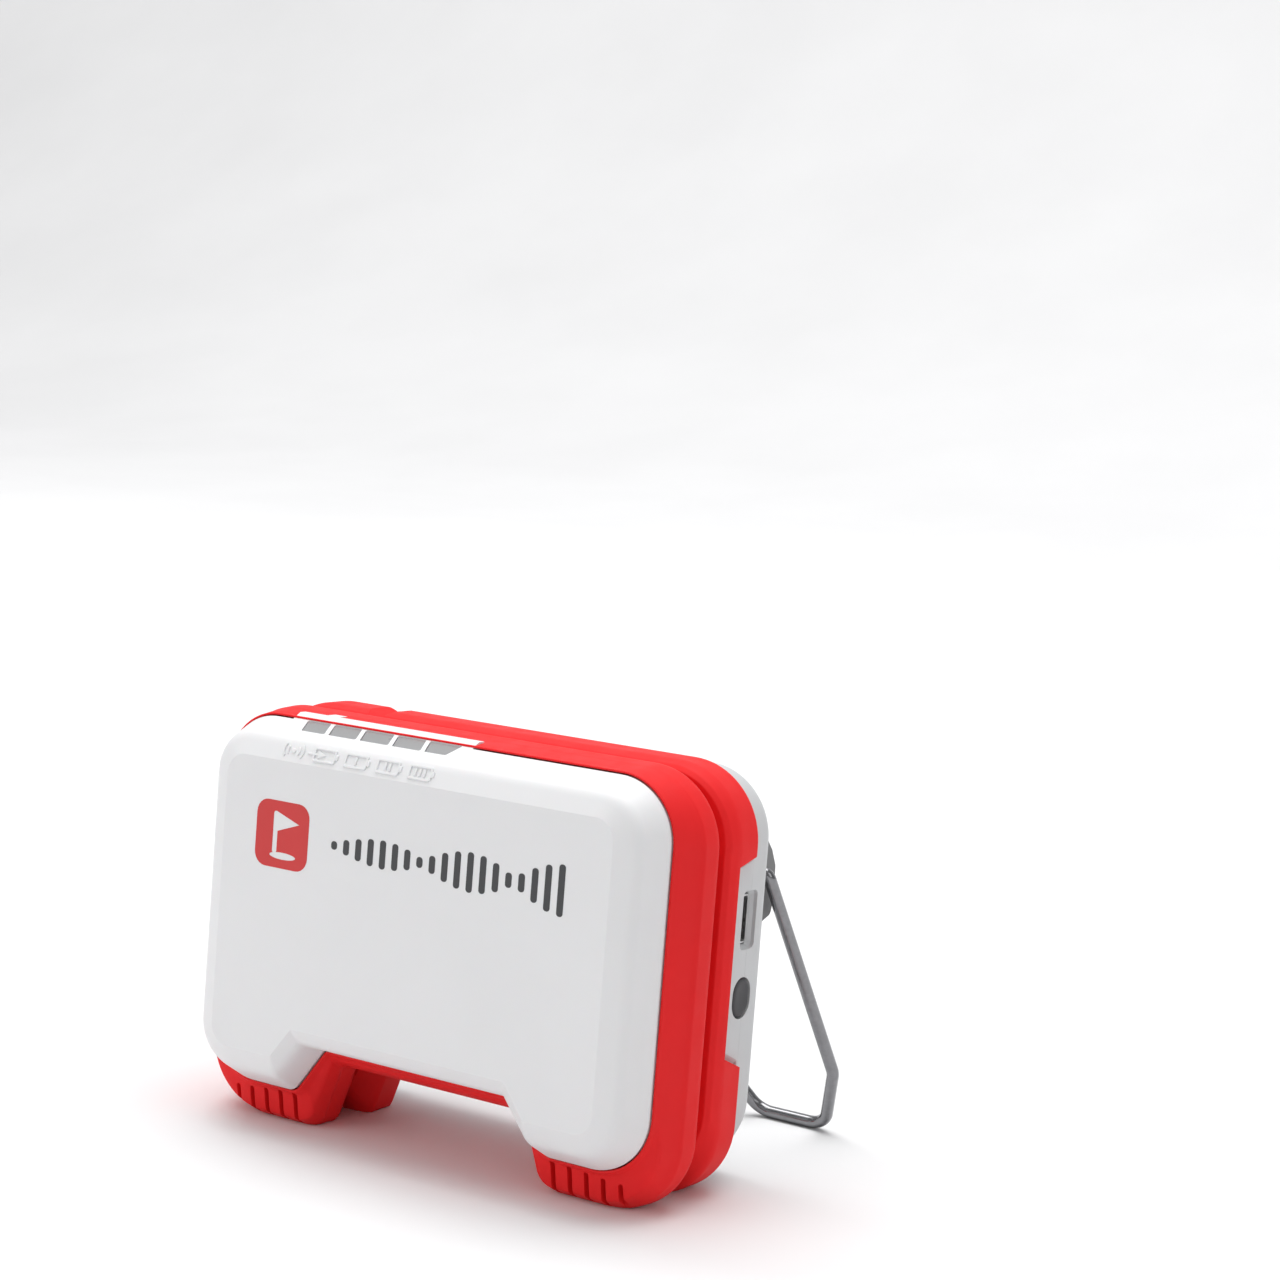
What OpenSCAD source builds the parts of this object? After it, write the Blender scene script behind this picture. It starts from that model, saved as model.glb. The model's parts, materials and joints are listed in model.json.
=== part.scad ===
// Pocket golf launch monitor: an upright radar case on two rubber feet, leaning back on a folding wire stand.
// Millimetres. Built upright in the case's own frame (X across, Y from the face to the back, Z up),
// then leaned back as in use, so that the feet and the wire both meet the ground at Z = 0.

/* [Case] */
// widest part of the rubber bands
case_w = 90; // [80:1:100]
// feet to the top of the rubber bands
case_h = 66; // [60:0.5:72]
// corner radius of the rubber bands
case_r = 12; // [8:0.5:16]
// how far the case leans back in use, in degrees
lean = 4; // [3:0.1:9]
// depth at which the feet meet the ground
rest_y = 14.5; // [11:0.1:20]

/* [White front cover] */
// width of the flat front face
face_w = 72.8; // [66:0.1:78]
// top of the flat front face
face_top = 59.1; // [56:0.1:62]
// bottom of the flat front face
face_bottom = 12.6; // [10:0.1:15]
// corner radius of the flat front face
face_r = 3.4; // [2:0.1:6]
// how far the shallow chamfer spreads
chamfer_out = 3.5; // [2:0.1:5]
// depth of the shallow chamfer
chamfer_y = 1.5; // [1:0.1:3]
// how far the rim spreads from the flat face
rim_out = 5.8; // [4:0.1:8]
// depth of the rim, where the white meets the rubber
rim_y = 6.95; // [6:0.05:9]
// wall of the covers
wall = 1.6; // [1.2:0.1:2.4]

/* [Arch between the feet] */
// half width of the arch's top at the front face
arch_top_x = 20.4; // [18:0.1:23]
// height of the arch at the front face
arch_z = 17.7; // [15:0.1:20]
// half width of the arch's mouth
arch_foot_x = 24.2; // [22:0.1:27]
// height of the arch under the rubber
arch_rubber_z = 10.5; // [8:0.1:13]

/* [Rubber bands and groove] */
// depth of the feet's upright fronts, at the top
brow_y = 7.9; // [7.5:0.1:8.2]
// depth of the feet's upright fronts, at the bottom
toe_y = 8.6; // [8.4:0.1:9.5]
// back edge of the flared front of the front band
flare_y = 11.2; // [10:0.1:13]
// back edge of the front band's side
front_band_y = 15.1; // [13:0.1:17]
// start of the groove's floor
groove_y0 = 17.6; // [16:0.1:19]
// front edge of the rear band
rear_band_y0 = 19.6; // [18:0.1:21]
// front edge of the rear band's side
rear_lip_y = 21.5; // [20:0.1:23]
// back edge of the rear band
rear_band_y1 = 27.1; // [25:0.1:29]
// depth of the groove
groove_d = 2.8; // [2:0.1:4]
// number of grip slits in each foot
slits = 5; // [3:1:7]
// distance between the slits
slit_pitch = 3; // [2.5:0.05:3.6]
// width of a slit
slit_w = 0.85; // [0.5:0.05:1.2]
// distance from the middle to the inmost slit
slit_x = 25; // [24:0.1:26]

/* [Rear cover] */
// rear face of the case
back_y = 35.1; // [31:0.1:37]
// edge where the rear chamfer begins
back_rim_y = 31.7; // [29:0.1:33]
// how far the rear chamfer draws in
back_in = 3; // [2:0.1:5]

/* [Stand] */
// diameter of the stand wire
wire_d = 2; // [1.6:0.1:2.4]
// depth of the stand's hinge axis
hinge_y = 36.7; // [36:0.1:38]
// height of the stand's hinge axis
hinge_z = 48.4; // [45:0.1:52]
// hinge axis to the bars on the ground
stand_len = 50.7; // [48:0.1:53]
// radial clearance of the wire in its bushings
pin_gap = 0.05; // [0.02:0.01:0.1]

/* [Side panel] */
// height of the charging socket's centre
port_z = 42.7; // [38:0.1:48]
// depth of the charging socket's centre
port_y = 27.4; // [26.5:0.1:28.4]
// height of the power button's centre
button_z = 30.8; // [26:0.1:36]
// depth of the power button's centre
button_y = 27; // [26:0.1:28]

/* [Hidden] */
arc_n = 7;
foot_n = 3;
arch_n = 2;
// slope of a slit's floor, and its height and depth
slit_tilt = 20;
slit_h = 9.3;
slit_in = 5;
wire_r = wire_d / 2;
half_w = case_w / 2;
white = [0.88, 0.88, 0.89];
red = [0.85, 0.12, 0.13];
pale = [0.72, 0.73, 0.74];
grey = [0.45, 0.45, 0.46];
dark = [0.32, 0.32, 0.33];
steel = [0.7, 0.7, 0.71];
green = [0.1, 0.35, 0.2];
brass = [0.78, 0.62, 0.32];

// ---- leaned frame ----
floor_tan = tan(lean);
function ground_z(y) = (y - rest_y) * floor_tan;
rise = rest_y * sin(lean);
// angle of the stand from the case's own vertical: the bars just touch the ground
reach = hinge_z - (hinge_y - rest_y) * floor_tan - wire_r / cos(lean);
stand_angle = lean + acos(reach * cos(lean) / stand_len);
bar_y = hinge_y + stand_len * sin(stand_angle);
bar_z = hinge_z - stand_len * cos(stand_angle);
front_most = face_bottom * sin(lean);
rear_most = bar_y * cos(lean) + bar_z * sin(lean) + wire_r;
middle_y = (front_most + rear_most) / 2;

module leaned() {
    translate([0, -middle_y, rise])
        rotate([-lean, 0, 0])
            children();
}

// ---- rounded outlines ----
function unit(v) = v / norm(v);

// the points of one rounded corner at v, between its neighbours a and b
function corner(a, v, b, r, n) =
    let (u = unit(a - v), w = unit(b - v))
    let (half = acos(u * w) / 2, t = r / tan(half))
    let (c = v + unit(u + w) * r / sin(half))
    let (p = v + u * t - c, q = v + w * t - c)
    let (a0 = atan2(p[1], p[0]), d = atan2(q[1], q[0]) - a0)
    let (s = d > 180 ? d - 360 : d < -180 ? d + 360 : d)
    [for (i = [0 : n]) c + r * [cos(a0 + s * i / n), sin(a0 + s * i / n)]];

// outline of the case: half width, top, bottom, arch top half width, arch height, arch mouth
// half width, top radius, outer foot radius, inner foot radius, arch radius
function outline(s) =
    let (w = s[0], t = s[1], b = s[2], ax = s[3], az = s[4], fx = s[5])
    let (p = [[fx, b], [w, b], [w, t], [-w, t], [-w, b], [-fx, b], [-ax, az], [ax, az]])
    let (r = [s[8], s[7], s[6], s[6], s[7], s[8], s[9], s[9]])
    let (n = [foot_n, arc_n, arc_n, arc_n, arc_n, foot_n, arch_n, arch_n])
    [for (i = [0 : 7]) for (q = corner(p[(i + 7) % 8], p[i], p[(i + 1) % 8], r[i], n[i])) q];

// the same outline, larger by d all round
function grown(s, d) = [s[0] + d, s[1] + d, s[2] - d, s[3] - d * 0.7, s[4] - d, s[5] - d * 0.6,
    max(s[6] + d, 0.4), max(s[7] + d, 0.4), max(s[8] + d * 0.5, 0.3), max(s[9] - d * 0.5, 0.3)];

// triangles that fill one outline: a fan for each foot, one for each shoulder and two for the middle
shoulder_r = foot_n + arc_n + 2;
crown_r = shoulder_r + arc_n;
shoulder_l = crown_r + 1 + arc_n;
foot_l = shoulder_l + arc_n + foot_n + 2;
ring_n = foot_l + 1 + 2 * (arch_n + 1);
cap = concat(
    [for (i = [0 : shoulder_r - 1]) [ring_n - 1, i, i + 1]],
    [for (i = [1 : arch_n]) [ring_n - 1 - i, ring_n - i, shoulder_r]],
    [for (i = [shoulder_r : crown_r - 1]) [ring_n - 1 - arch_n, i, i + 1]],
    [[foot_l + 1 + arch_n, ring_n - 1 - arch_n, crown_r], [foot_l + 1 + arch_n, crown_r, crown_r + 1]],
    [for (i = [crown_r + 1 : shoulder_l - 1]) [foot_l + 1 + arch_n, i, i + 1]],
    [for (i = [1 : arch_n]) [shoulder_l, foot_l + i, foot_l + 1 + i]],
    [for (i = [shoulder_l : foot_l - 1]) [foot_l + 1, i, i + 1]]);

// a skin through the sections [depth, outline]; a closed one comes back to its first section
module skin(sections, closed = false) {
    rings = [for (s = sections) [for (p = outline(s[1])) [p[0], s[0], p[1]]]];
    n = len(rings[0]);
    m = len(rings);
    points = [for (r = rings) for (p = r) p];
    last = closed ? m - 1 : m - 2;
    sides = [for (j = [0 : last]) for (i = [0 : n - 1])
        let (a = j * n + i, b = j * n + (i + 1) % n)
        let (c = ((j + 1) % m) * n + (i + 1) % n, d = ((j + 1) % m) * n + i)
        each [[a, b, c], [a, c, d]]];
    caps = closed ? [] : concat([for (c = cap) [c[2], c[1], c[0]]],
        [for (c = cap) c + (m - 1) * n * [1, 1, 1]]);
    polyhedron(points = points, faces = concat(sides, caps), convexity = 10);
}

// ---- the case's own outlines, from the face backwards ----
o_face = [face_w / 2, face_top, face_bottom, arch_top_x, arch_z, arch_foot_x + 0.1, face_r, face_r, 0.8, 0.8];
o_edge = [face_w / 2 + chamfer_out, face_top + chamfer_out, face_bottom - chamfer_out,
    arch_top_x - 1.05, arch_z - 2.5, arch_foot_x, face_r + chamfer_out, face_r + chamfer_out, 1.4, 0.8];
o_rim = [face_w / 2 + rim_out, face_top + rim_out, face_bottom - rim_out - 0.9,
    arch_top_x - 1.75, arch_z - 4.2, arch_foot_x, 9.6, 9.6, 2.2, 0.8];
o_lip = [o_rim[0], o_rim[1] - 0.4, o_rim[2] + 0.2, o_rim[3], o_rim[4] + 0.2, o_rim[5], 9.4, 9.4, 2.2, 0.8];
o_floor = [half_w - groove_d, case_h - groove_d, 5.2, 19.7, 13.4, 25.1,
    case_r - groove_d, case_r - groove_d, 2, 0.8];
o_brow = [half_w - 2.1, case_h - 0.7, 5, 18.5, arch_rubber_z + 2.1, 22.9, 10.2, 10.2, 2.6, 0.9];
o_toe = [half_w - 1.8, case_h - 0.6, 1, 18.5, arch_rubber_z + 1.3, 22.3, 10.5, 10.5, 3.2, 1];
o_flare = [half_w - 0.8, case_h - 0.35, ground_z(flare_y) - 0.2, 18.4, arch_rubber_z, 22.2,
    11.3, 11.3, 3.6, 1];
o_band = [half_w, case_h, -0.9, 18.7, arch_rubber_z - 0.4, 22.4, case_r, case_r, 3.2, 1];
o_band_rear = [half_w, case_h, -0.4, 16.8, arch_rubber_z - 0.4, 20.4, case_r, case_r, 3.2, 1];
o_skirt = [half_w - 1.6, case_h - 1.6, 4, 19, 12.2, 24.3, case_r - 1.6, case_r - 1.6, 2, 0.8];
o_back_rim = [half_w - 1.1, case_h - 1.1, 3.4, 19.2, 11.4, 24.2, case_r - 1.1, case_r - 1.1, 2, 0.8];
o_back = grown(o_back_rim, -back_in);
o_inner = [half_w - 6.1, case_h - 5, 9.8, 22.2, 17, 26.8, 8, 8, 1, 0.5];

// everything under the ground plane of the leaning case
module underground() {
    translate([0, rest_y, 0])
        rotate([lean, 0, 0])
            translate([-60, -60, -20])
                cube([120, 120, 20]);
}

// ---- light windows, on the sloping top of the front cover ----
win_y0 = 3.9;
win_y1 = 7;
slope = atan2(rim_out - chamfer_out, rim_y - chamfer_y);
win_x = [[-25.4, -20.8], [-20, -14.6], [-13.8, -8.3], [-7.5, -2.1], [-1.3, 2.7]];
win_skew = 1.2;
tab_x0 = -29.5;
tab_x1 = 5.6;
tab_y = 8.4;
tab_z = 65.7;

function window_shape(i, gap) =
    let (x = win_x[i], right = i == 4 ? 0.9 : -win_skew)
    [[x[0] + gap, win_y0 + gap], [x[1] - gap, win_y0 + gap],
     [x[1] + right - gap, win_y1 - gap], [x[0] - win_skew + gap, win_y1 - gap]];

// the block of material above the front cover's sloping top, raised by up
module above_slope(up) {
    translate([0, chamfer_y, face_top + chamfer_out + up])
        rotate([slope, 0, 0])
            translate([-50, -5, 0])
                cube([100, 30, 10]);
}

module window(i) {
    color(grey)
        difference() {
            translate([0, 0, 61.6])
                linear_extrude(height = 6)
                    polygon(window_shape(i, 0.06));
            above_slope(-0.12);
        }
}

// outline of the raised tab that carries the windows back into the rubber, seen from the side
module tab_block(gap) {
    translate([tab_x0 - gap, 0, 0])
        rotate([90, 0, 90])
            linear_extrude(height = tab_x1 - tab_x0 + 2 * gap)
                polygon([[5.6, 63.9], [rim_y - 0.05, o_rim[1] - 0.03], [tab_y + gap, tab_z + gap * 4],
                         [tab_y + 1.2 + gap, tab_z + gap * 4], [tab_y + 1.2 + gap, 63.9 - gap]]);
    translate([-25 - gap, tab_y, 63.9 - gap])
        cube([2.4 + 2 * gap, 3.2 + gap, tab_z - 63.9 + gap * 5]);
}

// battery outline with bars, or a plug arrow when bars is 0, raised from the chamfer
module battery_icon(bars) {
    difference() {
        square([4.4, 2.2], center = true);
        square([3.7, 1.5], center = true);
    }
    translate([2.45, 0])
        square([0.5, 1], center = true);
    if (bars > 0)
        for (k = [0 : bars - 1])
            translate([-0.7 + k * 0.9 - (bars - 1) * 0.1, 0])
                square([0.4, 1.6], center = true);
    if (bars == 0)
        translate([-1.4, 0])
            polygon([[-2, 0.2], [0.2, 0.2], [0.2, 0.55], [1.5, 0], [0.2, -0.55], [0.2, -0.2], [-2, -0.2]]);
}

module waves_icon() {
    circle(r = 0.45, $fn = 24);
    for (k = [1, 2], m = [0, 1])
        mirror([m, 0])
            intersection() {
                difference() {
                    circle(r = 0.65 + k * 0.65, $fn = 40);
                    circle(r = 0.35 + k * 0.65, $fn = 40);
                }
                polygon([[0, 0], [3, 2.2], [3, -2.2]]);
            }
}

module icons() {
    tilt = atan2(chamfer_out, chamfer_y);
    for (i = [0 : 4])
        translate([-23.9 + i * 6.15, chamfer_y / 2, face_top + chamfer_out / 2])
            rotate([tilt, 0, 0])
                translate([0, 0, -0.2])
                    linear_extrude(height = 0.38) {
                        if (i == 0)
                            waves_icon();
                        else
                            battery_icon(i - 1);
                    }
}

// ---- covers and rubber ----
module front_cover() {
    color(white)
        difference() {
            union() {
                skin([[0, o_face], [chamfer_y, o_edge], [rim_y, o_rim], [rim_y + 3.5, o_lip],
                      [rim_y + 3.5, grown(o_lip, -wall)], [rim_y, grown(o_rim, -wall)],
                      [chamfer_y + 1, grown(o_edge, -wall + 0.2)], [wall, grown(o_face, -0.2)]]);
                tab_block(0);
            }
            for (i = [0 : 4])
                translate([0, 0, 55])
                    linear_extrude(height = 20)
                        polygon(window_shape(i, 0));
        }
    color(white)
        icons();
}

module front_band() {
    color(red)
        difference() {
            skin([[rim_y, grown(o_rim, 0.35)], [brow_y, o_brow], [toe_y, o_toe], [flare_y, o_flare],
                  [flare_y + 0.8, grown(o_band, -0.25)], [front_band_y, o_band],
                  [front_band_y + 0.9, grown(o_band, -0.4)],
                  [groove_y0, grown(o_floor, 0.06)], [rim_y + 3.6, grown(o_floor, 0.06)],
                  [rim_y + 3.55, grown(o_lip, 0.06)], [rim_y, grown(o_rim, 0.06)]], closed = true);
            tab_block(0.08);
            for (side = [-1, 1], i = [0 : slits - 1])
                translate([side * (slit_x + i * slit_pitch), flare_y - 0.4, 0])
                    rotate([slit_tilt, 0, 0])
                        translate([-slit_w / 2, -slit_in, -3])
                            cube([slit_w, slit_in, slit_h - i * 0.32]);
            underground();
        }
}

module rear_band() {
    color(red)
        difference() {
            skin([[rear_band_y0 - 0.5, grown(o_floor, 0.06)], [rear_band_y0 - 0.5, grown(o_skirt, 0.3)],
                  [rear_band_y0 + 0.2, grown(o_skirt, 1.0)], [rear_lip_y, o_band_rear],
                  [rear_band_y1 - 0.6, o_band_rear], [rear_band_y1, grown(o_band_rear, -0.5)],
                  [rear_band_y1, grown(o_skirt, 0.06)], [rear_band_y0 + 0.05, grown(o_skirt, 0.06)],
                  [rear_band_y0 + 0.05, grown(o_floor, 0.06)]], closed = true);
            side_notch();
            translate([0, 30, 0])
                rotate([90, 0, 0])
                    linear_extrude(height = 12)
                        polygon([[-26.2, case_h + 0.2], [-23.9, case_h - 1.2],
                                 [-22.3, case_h - 1.2], [-21.2, case_h + 0.2]]);
            underground();
        }
}

// opening in the rear band for the socket and the button, seen from the side
module side_notch() {
    translate([half_w - 6, 0, 0])
        rotate([90, 0, 90])
            linear_extrude(height = 8)
                polygon([[rear_lip_y + 0.3, 22.4], [rear_band_y1 + 1, 19.8],
                         [rear_band_y1 + 1, 53], [rear_lip_y + 0.3, 51.4]]);
}

// side panel of the rear cover, which fills the rear band's opening
module side_pad() {
    translate([half_w - 1.8, 0, 0])
        rotate([90, 0, 90])
            linear_extrude(height = 0.68)
                polygon([[rear_lip_y + 0.6, 22.7], [rear_band_y1 + 0.5, 20.5],
                         [rear_band_y1 + 0.5, 52.4], [rear_lip_y + 0.6, 51.1]]);
}

module chassis() {
    color(red * 0.8)
        difference() {
            skin([[rim_y + 2, grown(o_lip, -wall - 0.08)], [rim_y + 3.62, grown(o_lip, -wall - 0.08)],
                  [rim_y + 3.68, grown(o_floor, -0.04)], [rear_band_y0 - 0.02, grown(o_floor, -0.04)],
                  [rear_band_y0, grown(o_skirt, -wall - 0.1)], [25, grown(o_skirt, -wall - 0.1)],
                  [25, o_inner], [rim_y + 2, o_inner]], closed = true);
            translate([half_w - 8, port_y - 3.2, port_z - 6])
                cube([10, 8, 12]);
            translate([half_w - 8, button_y - 4, button_z - 5])
                cube([10, 8, 10]);
        }
}

module stadium(w, h, d) {
    hull()
        for (s = [-1, 1])
            translate([0, 0, s * (h - w) / 2])
                rotate([0, 90, 0])
                    cylinder(h = d, d = w, $fn = 40);
}

module rear_cover() {
    color(pale)
        difference() {
            union() {
                skin([[back_y - wall, grown(o_back, -0.6)], [back_rim_y, grown(o_skirt, -wall)],
                      [rear_band_y0 + 0.1, grown(o_skirt, -wall)], [rear_band_y0 + 0.1, o_skirt],
                      [rear_band_y1 + 0.05, o_skirt], [rear_band_y1 + 0.1, o_back_rim],
                      [back_rim_y, o_back_rim], [back_y, o_back]]);
                side_pad();
            }
            translate([half_w - 8, port_y - 1.5, port_z - 4])
                cube([12, 3, 8]);
            translate([half_w - 2.1, port_y - 2, port_z - 4.5])
                cube([12, 4, 9]);
            translate([half_w - 8, button_y, button_z])
                stadium(5.3, 6.6, 12);
            translate([-17, back_y - 0.5, 24])
                cube([34, 2, 16]);
            for (p = cover_screw_at) {
                translate([p[0], back_y - wall - 2, p[1]])
                    rotate([-90, 0, 0])
                        cylinder(h = 8, d = 2.3, $fn = 32);
                translate([p[0], back_y - 0.9, p[1]])
                    rotate([-90, 0, 0])
                        cylinder(h = 3, d = 4, $fn = 32);
            }
        }
}

cover_screw_at = [[-34, 58.5], [34, 58.5], [-33.5, 13.5], [33.5, 13.5]];

module rating_plate() {
    color(grey)
        translate([-16.9, back_y - 0.48, 24.1])
            cube([33.8, 0.4, 15.8]);
}

// ---- stand ----
block_x0 = 33.6;
block_x1 = 40;
pin_end_x = 35.2;
leg_x = 41.2;
knee_x = 45.2;
foot_x0 = 29.1;
foot_x1 = 41.4;
bow_x = 22.4;
bow_len = stand_len - 11.2;
knee_len = stand_len - 11.9;
bushing_r = 1.5;

module hinge_block() {
    difference() {
        translate([block_x0, 0, 0])
            rotate([90, 0, 90])
                linear_extrude(height = block_x1 - block_x0)
                    polygon([[back_y + 0.02, 40.3], [hinge_y + 1.3, 40.4], [hinge_y + 3.9, 41.3],
                             [hinge_y + 4.4, 43.4], [hinge_y + 4.5, 46], [hinge_y + 4.3, 49],
                             [hinge_y + 2.9, 51.6], [hinge_y + 1.3, 53.3], [back_y + 0.02, 55.4]]);
        translate([pin_end_x - 0.3, hinge_y, hinge_z])
            rotate([0, 90, 0])
                cylinder(h = 10, r = bushing_r + 0.02, $fn = 48);
    }
}

module hinge_bushing() {
    translate([pin_end_x - 0.26, hinge_y, hinge_z])
        rotate([0, 90, 0])
            difference() {
                cylinder(h = block_x1 - pin_end_x + 0.26, r = bushing_r, $fn = 48);
                translate([0, 0, -1])
                    cylinder(h = 10, r = wire_r + pin_gap, $fn = 48);
            }
}

module hinge_block_right() {
    color(grey)
        hinge_block();
}

module hinge_block_left() {
    color(grey)
        mirror([1, 0, 0])
            hinge_block();
}

module hinge_bushing_right() {
    color(brass)
        hinge_bushing();
}

module hinge_bushing_left() {
    color(brass)
        mirror([1, 0, 0])
            hinge_bushing();
}

// half of the stand's centre line in its own plane, from the pin in its bushing to the arch bar
half_path = [[pin_end_x, 0], [leg_x, 0], [knee_x, -knee_len], [foot_x1, -stand_len], [foot_x0, -stand_len],
    [bow_x, -bow_len]];
half_bend = [0, 1.35, 4, 4, 4, 4];
stand_path = concat(half_path, [for (i = [5 : -1 : 0]) [-half_path[i][0], half_path[i][1]]]);
stand_bend = concat(half_bend, [for (i = [5 : -1 : 0]) half_bend[i]]);
// sides of the round wire and steps of each of its bends
wire_sides = 24;
bend_n = 10;
// the whole centre line, with its bends rounded
wire_line = concat(
    [stand_path[0]],
    [for (i = [1 : 10])
        each corner(stand_path[i - 1], stand_path[i], stand_path[i + 1], stand_bend[i], bend_n)],
    [stand_path[11]]);

// a round wire along a flat centre line
module wire(line) {
    m = len(line);
    points = [for (i = [0 : m - 1])
        let (d = unit(line[min(i + 1, m - 1)] - line[max(i - 1, 0)]))
        for (k = [0 : wire_sides - 1])
            let (side = wire_r * cos(360 * k / wire_sides))
            [line[i][0] - d[1] * side, line[i][1] + d[0] * side, wire_r * sin(360 * k / wire_sides)]];
    sides = [for (j = [0 : m - 2]) for (k = [0 : wire_sides - 1])
        let (a = j * wire_sides + k, b = j * wire_sides + (k + 1) % wire_sides)
        each [[a, b + wire_sides, b], [a, a + wire_sides, b + wire_sides]]];
    first = [for (k = [1 : wire_sides - 2]) [0, k, k + 1]];
    end = (m - 1) * wire_sides;
    last = [for (k = [1 : wire_sides - 2]) [end, end + k + 1, end + k]];
    polyhedron(points = points, faces = concat(sides, first, last), convexity = 10);
}

module stand_wire() {
    color(steel)
        translate([0, hinge_y, hinge_z])
            rotate([90 + stand_angle, 0, 0])
                wire(wire_line);
}

// ---- power button and its switch ----
panel_x = half_w - 1.6;

module power_button() {
    color(dark)
        translate([0, button_y, button_z]) {
            translate([panel_x - 2.1, 0, 0])
                stadium(4.6, 5.9, 2.65);
            translate([panel_x - 3.3, 0, 0])
                rotate([0, 90, 0])
                    cylinder(h = 1.3, d = 2, $fn = 32);
        }
}

module switch_plunger() {
    color(brass)
        translate([panel_x - 4.1, button_y, button_z])
            rotate([0, 90, 0])
                cylinder(h = 0.78, d = 1.8, $fn = 32);
}

module switch_body() {
    color(steel)
        translate([panel_x - 5.4, button_y - 1.8, button_z - 2.2])
            difference() {
                cube([1.5, 3.6, 4.4]);
                translate([0.7, 1.8, 2.2])
                    rotate([0, 90, 0])
                        cylinder(h = 3, d = 1.9, $fn = 32);
            }
}

module side_board() {
    color(green)
        translate([panel_x - 6.3, port_y - 4, 25.5])
            cube([0.88, 7.4, 24.5]);
}

// ---- charging socket ----
function socket_shape(d) =
    [[-3.45 - d, 0.95 + d], [3.45 + d, 0.95 + d], [3.45 + d, -0.2 - d * 0.4], [2.75 + d * 0.4, -0.95 - d],
     [-2.75 - d * 0.4, -0.95 - d], [-3.45 - d, -0.2 - d * 0.4]];

module usb_shell() {
    color(steel)
        translate([panel_x - 5.4, port_y, port_z])
            rotate([0, 90, 0])
                difference() {
                    linear_extrude(height = 4.9)
                        polygon(socket_shape(0.28));
                    translate([0, 0, 0.6])
                        linear_extrude(height = 6)
                            polygon(socket_shape(0));
                }
}

module usb_tongue() {
    color([0.1, 0.1, 0.11])
        translate([panel_x - 4.78, port_y - 0.1, port_z - 2.5])
            cube([3.4, 0.65, 5]);
}

// ---- radar and electronics ----
radar_y = 3.9;
main_y = 12.6;

module radar_board() {
    color(green)
        translate([-33, radar_y, 20])
            cube([66, 0.8, 37]);
}

module antenna_patches() {
    color(brass)
        for (g = [[-28, 4, 5], [4, 3, 5]], i = [0 : g[1] - 1], k = [0 : g[2] - 1])
            translate([g[0] + i * 7, radar_y - 0.08, 22.5 + k * 7])
                cube([4.4, 0.06, 3.6]);
}

module main_board() {
    color(green)
        difference() {
            translate([-35, main_y, 18.5])
                cube([70, 1, 40]);
            for (p = post_at)
                translate([p[0], main_y - 1, p[1]])
                    rotate([-90, 0, 0])
                        cylinder(h = 3, d = 2.3, $fn = 32);
        }
}

post_at = [[-32, 21.5], [32, 21.5], [-32, 55.5], [32, 55.5]];

module board_posts() {
    color(brass)
        for (p = post_at)
            translate([p[0], radar_y + 0.85, p[1]])
                rotate([-90, 0, 0])
                    difference() {
                        cylinder(h = main_y - radar_y - 0.9, d = 4, $fn = 32);
                        translate([0, 0, 4])
                            cylinder(h = 10, d = 1.7, $fn = 32);
                    }
}

module board_screws() {
    color(steel)
        for (p = post_at)
            translate([p[0], main_y + 1.03, p[1]])
                rotate([-90, 0, 0]) {
                    difference() {
                        cylinder(h = 1.3, d = 3.6, $fn = 32);
                        translate([0, 0, 0.6])
                            cylinder(h = 2, d = 1.6, $fn = 6);
                    }
                    translate([0, 0, -4])
                        cylinder(h = 4.1, d = 1.6, $fn = 32);
                }
}

module shield_can() {
    color(steel)
        translate([-22, main_y - 3.05, 24])
            difference() {
                cube([26, 3, 28]);
                translate([0.3, 0.3, 0.3])
                    cube([25.4, 4, 27.4]);
            }
}

module radio_module() {
    color(dark)
        translate([8, main_y - 2.05, 38])
            cube([16, 2, 12]);
}

module led_board() {
    color(green)
        translate([-27.5, 4.2, 59.4])
            cube([31.5, 4.5, 0.8]);
}

module leds() {
    color([0.95, 0.95, 0.85])
        for (x = win_x)
            translate([(x[0] + x[1]) / 2 - 1.2, 5, 60.23])
                cube([1.6, 0.8, 0.6]);
}

// thin black walls that keep each light under its own window
module light_guide_rib() {
    color(dark)
        translate([0, 0, 60.23])
            for (i = [0 : 3])
                translate([(win_x[i][1] + win_x[i + 1][0]) / 2 - 0.9, 4.3, 0])
                    cube([0.4, 3.6, 1.25]);
}

module battery_tray() {
    color(pale)
        translate([-29, 16.4, 22])
            difference() {
                cube([56, 8.6, 33]);
                translate([1.2, 1.2, 1.2])
                    cube([53.6, 8, 30.6]);
            }
}

module battery_cell() {
    color(steel)
        translate([-27, 18.3, 24])
            cube([52, 6.2, 29]);
}

module battery_pad() {
    color(dark)
        translate([-26, 17.63, 25])
            cube([50, 0.64, 27]);
}

module cover_screws() {
    color(steel)
        for (p = cover_screw_at)
            translate([p[0], back_y - 0.88, p[1]])
                rotate([-90, 0, 0]) {
                    difference() {
                        cylinder(h = 0.7, d = 3.8, $fn = 32);
                        translate([0, 0, 0.25])
                            cylinder(h = 2, d = 1.6, $fn = 6);
                    }
                    translate([0, 0, -7])
                        cylinder(h = 7.1, d = 2, $fn = 32);
                }
}

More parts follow.
